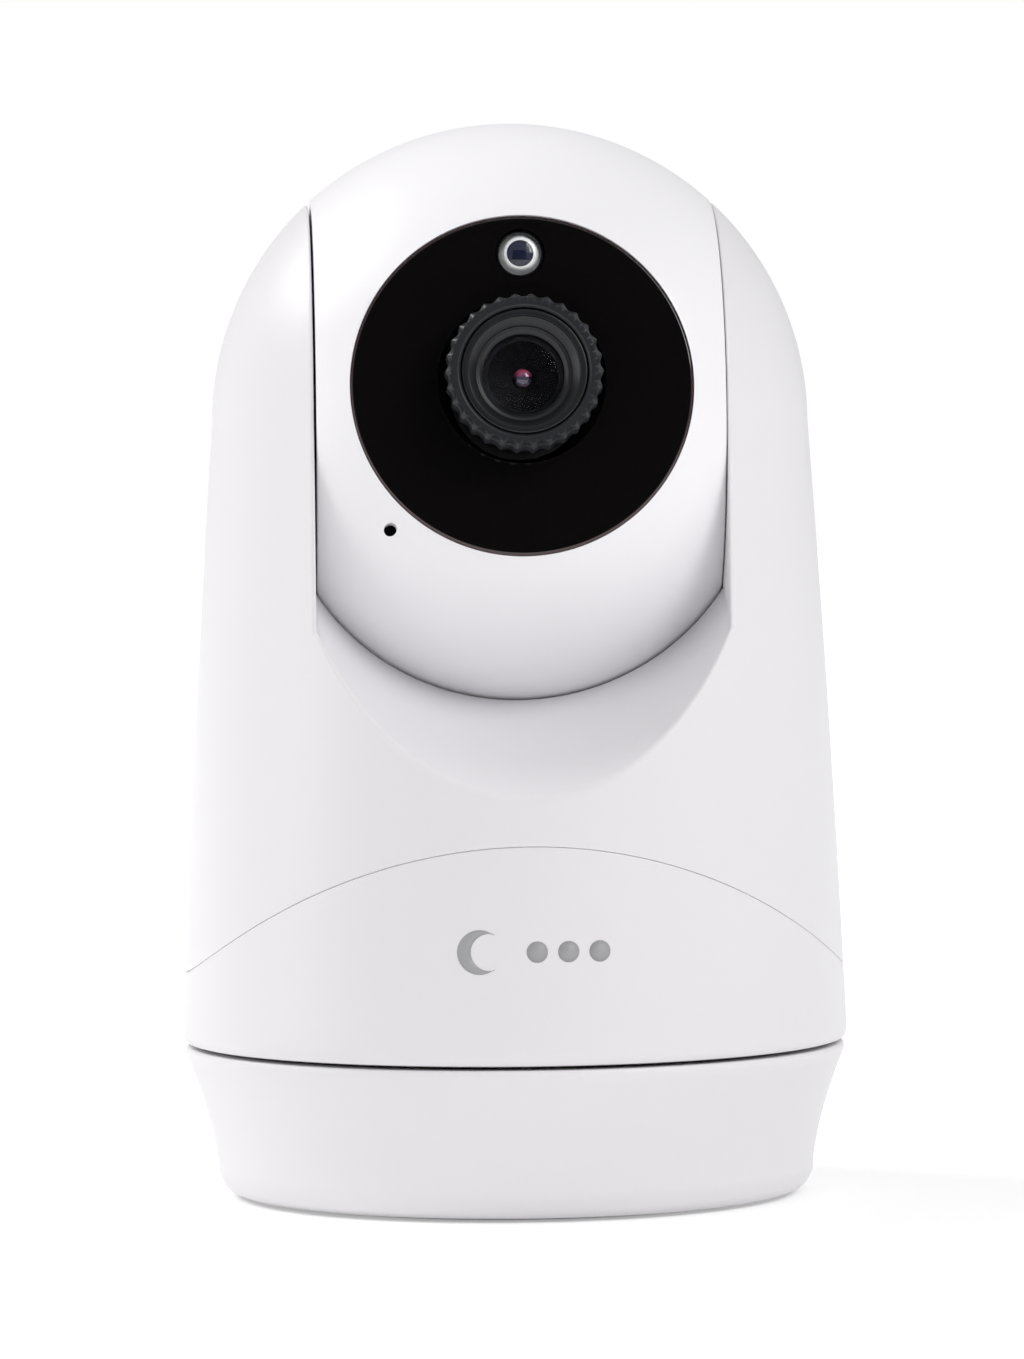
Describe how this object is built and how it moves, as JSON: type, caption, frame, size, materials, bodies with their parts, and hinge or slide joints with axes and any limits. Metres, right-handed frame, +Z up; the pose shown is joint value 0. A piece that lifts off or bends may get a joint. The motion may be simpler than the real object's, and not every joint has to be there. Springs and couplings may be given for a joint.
{
  "type": "baby monitor camera",
  "caption": "Free-standing nursery monitor camera: a round foot, a body that pans on it, and a ball head that tilts between two arms, with a lens and a dark window.",
  "frame": {"origin": "centre of the foot's underside, on the pan axis", "axes": "+Z up along the pan axis, -Y towards the front where the lens looks, +X to the right of someone who faces the lens"},
  "size_m": [0.075, 0.075, 0.1207],
  "materials": {
    "white_casing": "satin",
    "white_foot": "satin",
    "inner_plastic": "matte",
    "acetal": "satin",
    "rubber": "matte",
    "steel": "satin",
    "brass": "satin",
    "circuit_board": "satin",
    "tinned_shield": "satin",
    "black_plastic": "matte",
    "black_window": "gloss",
    "lens_black": "satin",
    "lens_glass": "gloss",
    "clear_lens": "gloss",
    "chrome": "polished",
    "cable_jacket": "matte"
  },
  "bodies": {
    "foot": {"base_shell": "white_foot", "bottom_cover": "white_foot", "foot_ring": "rubber", "tripod_insert": "brass", "ballast_plate": "steel", "pan_gear": "acetal", "pan_bush": "acetal", "power_board": "circuit_board", "power_socket": "tinned_shield", "pair_switch": "black_plastic", "bottom_screw_1": "steel", "bottom_screw_2": "steel", "bottom_screw_3": "steel"},
    "pair_button": {"pair_button": "inner_plastic"},
    "turning_body": {"pan_chassis": "inner_plastic", "pan_retainer": "steel", "skirt_shell": "white_casing", "front_shell": "white_casing", "rear_shell": "white_casing", "pan_motor": "steel", "main_board": "circuit_board", "processor_shield": "tinned_shield", "radio_module": "tinned_shield", "antenna": "circuit_board", "speaker": "black_plastic", "speaker_gasket": "rubber", "tilt_axle_left": "acetal", "tilt_axle_right": "acetal", "tilt_gear": "acetal", "hub_cable": "cable_jacket", "tilt_cable": "cable_jacket", "temperature_sensor": "black_plastic", "rear_screw_left": "steel", "rear_screw_right": "steel"},
    "pan_pinion": {"pan_pinion": "acetal", "pan_motor_shaft": "steel"},
    "head": {"head_front_shell": "white_casing", "head_rear_shell": "white_casing", "window": "black_window", "light_sensor": "clear_lens", "sensor_cup": "chrome", "microphone": "black_plastic", "sensor_board": "circuit_board", "image_sensor": "black_plastic", "lens_mount": "black_plastic", "lamp_board": "circuit_board", "infrared_lamp_1": "clear_lens", "infrared_lamp_2": "clear_lens", "infrared_lamp_3": "clear_lens", "infrared_lamp_4": "clear_lens", "infrared_lamp_5": "clear_lens", "infrared_lamp_6": "clear_lens", "tilt_motor": "steel", "tilt_bush_left": "acetal", "tilt_bush_right": "acetal"},
    "tilt_pinion": {"tilt_pinion": "acetal", "tilt_motor_shaft": "steel"},
    "lens": {"lens_ring": "lens_black", "lens_barrel": "lens_black", "front_glass": "lens_glass"}
  },
  "joints": [
    {"name": "pan", "type": "hinge", "parent": "foot", "child": "turning_body", "pos_m": [0, 0, 0.0174], "axis": [0, 0, 1], "range_deg": [-175, 175]},
    {"name": "pan_pinion_spin", "type": "hinge", "parent": "turning_body", "child": "pan_pinion", "pos_m": [0, -0.0168, 0.0153], "axis": [0, 0, 1], "range_deg": [-440, 440]},
    {"name": "tilt", "type": "hinge", "parent": "turning_body", "child": "head", "pos_m": [0, 0, 0.0871], "axis": [-1, 0, 0], "range_deg": [-39, 71]},
    {"name": "tilt_pinion_spin", "type": "hinge", "parent": "head", "child": "tilt_pinion", "pos_m": [0.015, 0.01067, 0.08541], "axis": [-1, 0, 0], "range_deg": [-80, 145]},
    {"name": "focus", "type": "hinge", "parent": "head", "child": "lens", "pos_m": [0, -0.02963, 0.09179], "axis": [0, -0.9877, 0.1564], "range_deg": [-90, 90]},
    {"name": "pair_press", "type": "slide", "parent": "foot", "child": "pair_button", "axis": [0, -1, 0], "range_m": [0, 0.0008], "stiffness_N_per_m": 300, "springref_m": -0.001}
  ],
  "couplings": [
    {"joint": "pan_pinion_spin", "follows": "pan", "ratio": 2.5},
    {"joint": "tilt_pinion_spin", "follows": "tilt", "ratio": 2}
  ]
}
